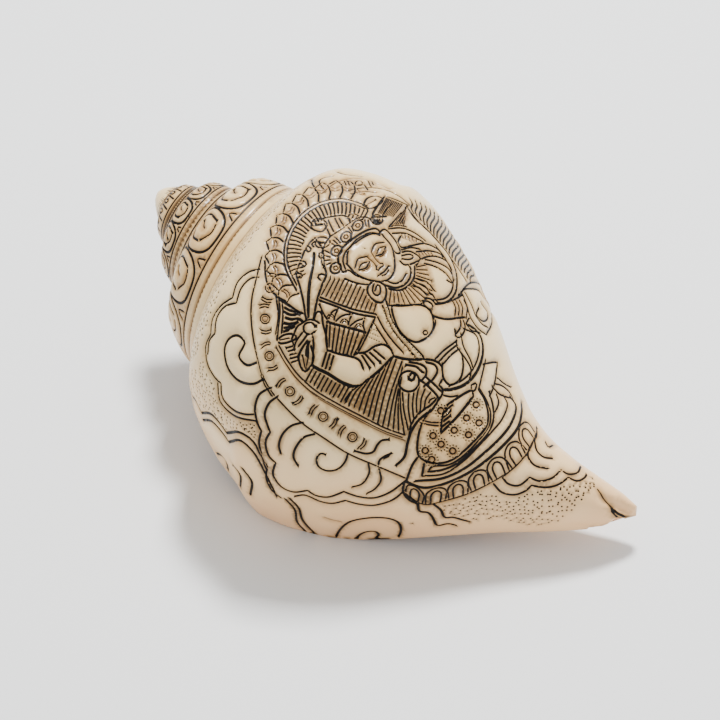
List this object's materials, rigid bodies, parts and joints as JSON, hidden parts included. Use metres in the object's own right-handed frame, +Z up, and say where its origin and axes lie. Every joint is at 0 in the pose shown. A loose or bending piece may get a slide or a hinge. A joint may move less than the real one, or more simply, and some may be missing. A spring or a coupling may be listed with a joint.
{
  "type": "carved chank shell",
  "caption": "Large dextral sea snail shell with a wide mouth, stepped spire and drawn-out canal, engraved all over, lying mouth down.",
  "frame": {"origin": "middle of the bounding box, on the table that the shell lies on", "axes": "+X runs from the top of the spire towards the canal's end, +Y to the side that the canal bends to, +Z up"},
  "size_m": [0.1752, 0.1034, 0.0883],
  "materials": {
    "shell": "semi-polished"
  },
  "bodies": {
    "root": {"shell": "shell"}
  },
  "joints": []
}
